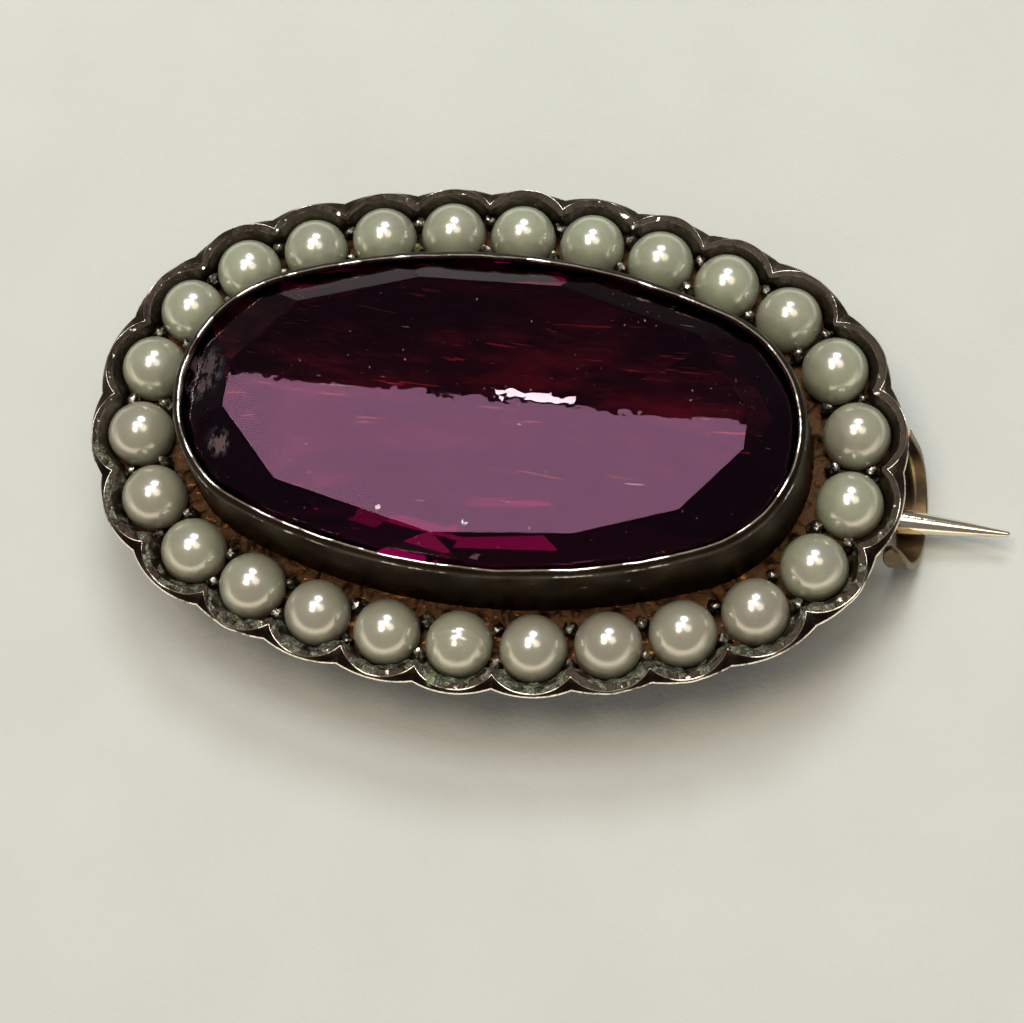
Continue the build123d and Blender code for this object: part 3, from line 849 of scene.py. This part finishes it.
def make_grains(material):
    """Small lumps of metal pushed up between the pearls, each a little different."""
    luck = random.Random(31)
    mould = new_mould()
    wear_and_glint = mould.verts.layers.float["wear_and_glint"]
    green = mould.verts.layers.float["green"]
    for number, (spot, lean) in enumerate(grain_spots()):
        outer = number % 2 == 0
        radius = luck.uniform(0.25, 0.33) * MM
        height = luck.uniform(0.55, 0.80) * MM if outer else luck.uniform(0.65, 0.95) * MM
        spot = spot + Vector((luck.uniform(-0.04, 0.04), luck.uniform(-0.04, 0.04), 0)) * MM
        lump = bmesh.ops.create_icosphere(mould, subdivisions=3, radius=1)["verts"]
        for vert in lump:
            shape = vert.co.copy()
            up = (shape.z + 1) / 2
            narrow = 1.0 - 0.35 * up
            vert[wear_and_glint] = 0.20 + max(0.0, up - 0.7) * 1.6
            vert.co = spot + Vector((shape.x * radius * narrow, shape.y * radius * narrow, 0))
            vert.co += lean * up**2 * GRAIN_LEAN
            vert.co.z = PLATE_TOP - GRAIN_SUNK + (height + GRAIN_SUNK) * up
            lumps = rough(vert.co, 0.16 * MM, 33) * 0.15 + rough(vert.co, 0.08 * MM, 35) * 0.06
            vert.co += shape * lumps * MM
            vert[green] = 0.38 + 0.40 * rough(vert.co, 0.25 * MM, 37)
    finish_piece(mould, "grains", "brooch", material, ["setting"], crease=60)


# Pearls


def make_pearl(index, material):
    """One seed pearl: nearly round, flat underneath, and ringed near one side on one of them."""
    luck = random.Random(100 + index)
    node = PEARL_NODES[index]
    low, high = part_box(node)
    centre = Vector(((low.x + high.x) / 2, (low.y + high.y) / 2, PEARL_HEIGHT))
    mould = new_mould()
    tint = mould.verts.layers.float["tint"]
    dirt = mould.verts.layers.float["dirt"]
    greenish = clamp(0.5 + 0.35 * centre.y / (7 * MM) + luck.uniform(-0.25, 0.25))
    squash = Vector((luck.uniform(0.975, 1.0), luck.uniform(0.975, 1.0), luck.uniform(0.97, 1.0)))
    bmesh.ops.create_icosphere(mould, subdivisions=5, radius=PEARL_RADIUS)
    for vert in mould.verts:
        way = vert.co.normalized()
        dent = rough(way, 0.9, 40 + index) * 0.012 + rough(way, 0.35, 80 + index) * 0.003
        if index == RINGED_PEARL:
            tilt = way.dot(RINGS_WAY)
            dent += 0.006 * sin(30 * tilt) * clamp(3 * tilt - 0.6)
        vert.co = vert.co * squash * (0.985 + dent)
        vert.co.z = max(vert.co.z, PEARL_FOOT - PEARL_HEIGHT)
        vert.co += centre
        vert[tint] = greenish
        vert[dirt] = max(0.0, 0.45 - (way.z + 0.2) * 2)
    finish_piece(mould, node.replace("pearl", "seed_pearl"), "brooch", material, [node], crease=60)


# Stone


def oval_reach(turn, outset):
    """How far the oval reaches from its middle in this direction."""
    spot = oval_spot(turn, outset, 0) - Vector((MIDDLE_X, 0, 0))
    return spot.x * cos(turn) + spot.y * sin(turn)


def cut_away(mould, place, normal):
    """Cuts a convex form with a plane and closes the cut with one flat facet."""
    geom = mould.verts[:] + mould.edges[:] + mould.faces[:]
    bmesh.ops.bisect_plane(
        mould, geom=geom, dist=0.0005 * MM, plane_co=place, plane_no=normal.normalized(), clear_outer=True
    )
    bmesh.ops.holes_fill(mould, edges=[edge for edge in mould.edges if edge.is_boundary])


def make_stone(material):
    """Long oval stone, cut facet by facet with small unevenness, as by hand."""
    luck = random.Random(12)
    mould = new_mould()
    raised(mould, STONE_GRIP, STONE_BOTTOM, STONE_TOP, STONE_COLUMNS)
    step = 4 * QUARTER / GIRDLE_FACETS
    girdle_turns = [oval_turn(index * step) for index in range(GIRDLE_FACETS)]
    main_turns = [radians(turn) for turn in MAIN_TURNS]
    break_turns = [radians(turn) for turn in BREAK_TURNS]
    crown_height, pavilion_depth = STONE_TOP - GIRDLE_TOP, GIRDLE_BOTTOM - STONE_BOTTOM
    for turns, tiers, base_height, height in (
        (girdle_turns, GIRDLE_TIERS, GIRDLE_TOP, crown_height),
        (break_turns, CROWN_BREAKS, GIRDLE_TOP, crown_height),
        (main_turns, CROWN_TIERS, GIRDLE_TOP, crown_height),
        (girdle_turns, PAVILION_BREAKS, GIRDLE_BOTTOM, pavilion_depth),
        (main_turns, PAVILION_TIERS, GIRDLE_BOTTOM, pavilion_depth),
    ):
        for (low_size, low_rise), (high_size, high_rise) in zip(tiers, tiers[1:]):
            for turn in turns:
                turn += radians(luck.uniform(-1.2, 1.2))
                reach = oval_reach(turn, STONE_GRIP)
                run = (high_size - low_size) * reach
                climb = (high_rise - low_rise) * height
                outwards = Vector((cos(turn), sin(turn), 0))
                normal = outwards * abs(climb) + Vector((0, 0, -run if climb > 0 else run))
                size = low_size + luck.uniform(-0.004, 0.004)
                touch = outwards * (reach * size)
                cut_away(mould, touch + Vector((MIDDLE_X, 0, base_height + low_rise * height)), normal)
    piece = finish_piece(mould, "cut_stone", "brooch", material, ["stone"])
    piece.data.shade_flat()


# Hinge


def hinge_place():
    """Place whose X axis runs along the rivet."""
    return Matrix.Translation(HINGE_PLACE) @ Matrix.Rotation(pi / 2, 4, "Z")


def barrel_profile(low, high, bore):
    """Section of a rolled ring on the rivet, with softened edges."""
    shoulder = BARREL_RADIUS - BARREL_SOFTNESS
    return [
        (low, bore),
        (low, shoulder),
        (low + BARREL_SOFTNESS, BARREL_RADIUS),
        (high - BARREL_SOFTNESS, BARREL_RADIUS),
        (high, shoulder),
        (high, bore),
    ]


def make_knuckles(material):
    """Two knuckles of the hinge, each a rolled ring on a web under the plate."""
    mould = new_mould()
    length = (BARREL_LENGTH - EYE_LENGTH) / 2 - KNUCKLE_GAP
    web_bottom = HINGE_PLACE.z + WEB_RISE
    web_height = PLATE_BOTTOM + SOLDER_DEPTH - web_bottom
    for side in (-1, 1):
        middle = side * (BARREL_LENGTH - length) / 2
        profile = barrel_profile(middle - length / 2, middle + length / 2, RIVET_RADIUS + KNUCKLE_CLEARANCE)
        turned(mould, profile, hinge_place(), ROUND_STEPS, closed=True)
        web_middle = Vector((HINGE_PLACE.x, middle, web_bottom + web_height / 2))
        web = block(mould, web_middle, (WEB_WIDTH, length, web_height))
        soften(mould, [edge for edge in mould.edges if edge.verts[0] in web], BARREL_SOFTNESS)
    finish_piece(mould, "hinge_knuckles", "brooch", material, ["setting"])


def make_rivet(material):
    """Rivet with a domed head at each end."""
    mould = new_mould()
    end = BARREL_LENGTH / 2 + RIVET_PROUD
    right = [(end + along * MM, radius * MM) for along, radius in RIVET_HEAD]
    left = [(-along, radius) for along, radius in reversed(right)]
    turned(mould, left + right, hinge_place(), RIVET_STEPS)
    finish_piece(mould, "rivet", "brooch", material, ["hinge_rivet"])


# Pin


def make_pin(material):
    """Tapered stem with a rounded point, and the eye that turns on the rivet."""
    tip = Vector((PIN_TIP_X, PIN_TIP_SIDE, HINGE_PLACE.z))
    way = (tip - HINGE_PLACE).normalized()
    length = (tip - HINGE_PLACE).length
    turn = atan2(way.y, way.x)
    mould = new_mould()
    stem = [(PIN_STEM_START, 0.0), (PIN_STEM_START, PIN_RADIUS), (length - PIN_TAPER, PIN_RADIUS)]
    for step in range(1, PIN_TAPER_ROWS + 1):
        share = step / PIN_TAPER_ROWS
        radius = PIN_RADIUS + (PIN_TIP_RADIUS - PIN_RADIUS) * share**1.15
        stem.append((length - PIN_TAPER + (PIN_TAPER - PIN_TIP_RADIUS) * share, radius))
    for step in range(1, PIN_POINT_ROWS + 1):
        lean = pi / 2 * step / PIN_POINT_ROWS
        stem.append((length - PIN_TIP_RADIUS * (1 - sin(lean)), PIN_TIP_RADIUS * cos(lean)))
    turned(mould, stem, Matrix.Translation(HINGE_PLACE) @ Matrix.Rotation(turn, 4, "Z"), ROUND_STEPS)
    eye = barrel_profile(-EYE_LENGTH / 2, EYE_LENGTH / 2, RIVET_RADIUS + EYE_CLEARANCE)
    turned(mould, eye, hinge_place(), ROUND_STEPS, closed=True)
    finish_piece(mould, "pin_wire", "pin", material, ["pin"])


# Catch


def catch_spot(side, rise, inset):
    """Place on the leaning plane of the catch, set in along the brooch."""
    base = CATCH_HALF_SPAN * cos(CATCH_LEAN)
    outer = CATCH_OUTER_X - (CATCH_HALF_SPAN + rise) * sin(CATCH_LEAN)
    return Vector((outer - inset, CATCH_SIDE + side, base + rise * cos(CATCH_LEAN)))


def make_catch(material):
    """Flat strip that comes from under the plate, runs under the pin and ends in a rounded tongue; its upper
    stretch is painted dark as shade on its inner part, with a painted glint line along that edge.
    """
    mould = new_mould()
    wear_and_glint = mould.verts.layers.float["wear_and_glint"]
    soot_and_shade = mould.verts.layers.float["soot_and_shade"]
    root = (PLATE_BOTTOM + CATCH_ROOT_DEPTH) / cos(CATCH_LEAN) - CATCH_HALF_SPAN
    length = root + (pi + CATCH_CURL) * CATCH_HALF_SPAN
    strip = bmesh.ops.create_grid(mould, x_segments=CATCH_COLUMNS, y_segments=CATCH_ROWS, size=1)
    for vert in strip["verts"]:
        share = (vert.co.x + 1) / 2
        travel = share * length
        depth = (vert.co.y + 1) / 2
        if travel < root:
            side, rise = CATCH_HALF_SPAN, root - travel
        else:
            bend = (travel - root) / CATCH_HALF_SPAN
            side, rise = CATCH_HALF_SPAN * cos(bend), -CATCH_HALF_SPAN * sin(bend)
        tongue = clamp(1 - (length - travel) / CATCH_TONGUE)
        narrow = max(0.12, sqrt(1 - tongue**2))
        slim = 1 - CATCH_SLIMMING * clamp(5 * share - 2.5)
        upper = clamp(2.4 - 4 * share)
        # Painted shade on the inner part of the upper stretch, a painted glint line along its edge, and a
        # worn lower edge.
        vert[soot_and_shade] = clamp((depth - CATCH_SHADE_FROM) * 9) * upper
        vert[wear_and_glint] = clamp(1 - abs(depth - CATCH_SHADE_FROM) * 10) * upper + 0.5 * (depth < 0.02) * (1 - upper)
        vert.co = catch_spot(side, rise, CATCH_WIDTH * (0.5 + (depth - 0.5) * narrow) * slim)
    mould.normal_update()
    bmesh.ops.solidify(mould, geom=mould.faces[:], thickness=CATCH_THICKNESS)
    foot_corner = Vector((
        CATCH_OUTER_X - CATCH_FOOT_INSET, CATCH_SIDE + CATCH_HALF_SPAN, PLATE_BOTTOM + SOLDER_DEPTH
    ))
    block(mould, foot_corner - CATCH_FOOT_SIZE / 2, CATCH_FOOT_SIZE)
    sharp = [edge for edge in mould.edges if edge.is_manifold and edge.calc_face_angle() > radians(50)]
    soften(mould, sharp, CATCH_SOFTNESS)
    finish_piece(mould, "catch", "brooch", material, ["setting"])


# Surroundings


def place_camera():
    """Camera at the photograph's angle, looking down on the brooch."""
    turn, rise, roll = CAMERA_TURN, CAMERA_ELEVATION, CAMERA_ROLL
    back = Vector((sin(turn) * cos(rise), -cos(turn) * cos(rise), sin(rise)))
    level = Vector((cos(turn), sin(turn), 0))
    steep = back.cross(level)
    right = level * cos(roll) + steep * sin(roll)
    up = steep * cos(roll) - level * sin(roll)
    side, lift = CAMERA_SLIDE
    eye = CAMERA_AIM - right * side - up * lift + back * CAMERA_DISTANCE
    data = bpy.data.cameras.new("camera")
    data.lens = CAMERA_LENS
    data.clip_start = CAMERA_NEAREST
    camera = bpy.data.objects.new("camera", data)
    camera.matrix_world = Matrix.Translation(eye) @ Matrix((right, up, back)).transposed().to_4x4()
    bpy.context.scene.collection.objects.link(camera)
    bpy.context.scene.camera = camera


def panel_light(name, spot, size, brightness, colour, shape):
    """Level soft box that faces down on the brooch, its place and size in millimetres."""
    data = bpy.data.lights.new(name, "AREA")
    data.shape = shape
    data.size, data.size_y = size[0] * MM, size[1] * MM
    data.energy = brightness * pi * data.size * data.size_y
    data.color = colour
    lamp = bpy.data.objects.new(name, data)
    lamp.location = (spot[0] * MM, spot[1] * MM, LAMP_HEIGHT)
    bpy.context.scene.collection.objects.link(lamp)


def light_world():
    """Soft light from all round: dim overhead, brighter low down on the near side."""
    world = bpy.data.worlds.new("studio")
    world.use_nodes = True
    nodes, links = world.node_tree.nodes, world.node_tree.links
    way = nodes.new("ShaderNodeTexCoord").outputs["Generated"]
    split = nodes.new("ShaderNodeSeparateXYZ")
    links.new(way, split.inputs[0])
    side = world_blend(world, split.outputs["Y"], WORLD_SIDE_LIMITS, WORLD_NEAR, WORLD_FAR)
    colour = world_blend(world, split.outputs["Z"], WORLD_RISE_LIMITS, side, WORLD_TOP)
    links.new(colour, nodes["Background"].inputs["Color"])
    bpy.context.scene.world = world


def world_blend(world, value, limits, first, second):
    """Colour that goes from first to second as a value goes between two limits."""
    nodes, links = world.node_tree.nodes, world.node_tree.links
    spread = nodes.new("ShaderNodeMapRange")
    spread.interpolation_type = "SMOOTHSTEP"
    spread.inputs["From Min"].default_value, spread.inputs["From Max"].default_value = limits
    links.new(value, spread.inputs["Value"])
    mix = nodes.new("ShaderNodeMix")
    mix.data_type = "RGBA"
    links.new(spread.outputs[0], mix.inputs[0])
    for socket, colour in ((mix.inputs[6], first), (mix.inputs[7], second)):
        if isinstance(colour, bpy.types.NodeSocket):
            links.new(colour, socket)
        else:
            socket.default_value = (*colour, 1)
    return mix.outputs[2]


def make_floor(material):
    """Pale floor, which isn't part of the brooch."""
    mould = bmesh.new()
    bmesh.ops.create_grid(mould, x_segments=1, y_segments=1, size=FLOOR_HALF_WIDTH)
    mesh = bpy.data.meshes.new("floor")
    mould.to_mesh(mesh)
    mould.free()
    mesh.materials.append(material)
    floor = bpy.data.objects.new("floor", mesh)
    bpy.context.scene.collection.objects.link(floor)


bpy.context.scene.view_settings.view_transform = "Standard"
place_camera()

metal = tarnished_metal()
for name, columns, section in (
    ("tray", TRAY_COLUMNS, tray_section),
    ("collet", COLLET_COLUMNS, collet_section),
):
    mould = new_mould()
    ring(mould, columns, section)
    finish_piece(mould, name, "brooch", metal, ["setting"])
make_grains(metal)
make_knuckles(metal)
make_rivet(metal)
make_catch(catch_metal())
make_pin(pin_metal())
pearl_finish = nacre()
for index in range(len(PEARL_NODES)):
    make_pearl(index, pearl_finish)
make_stone(cut_stone())
make_back(metal)

make_floor(pale_floor())
light_world()
for name, lamp in LAMPS.items():
    panel_light(name, *lamp)
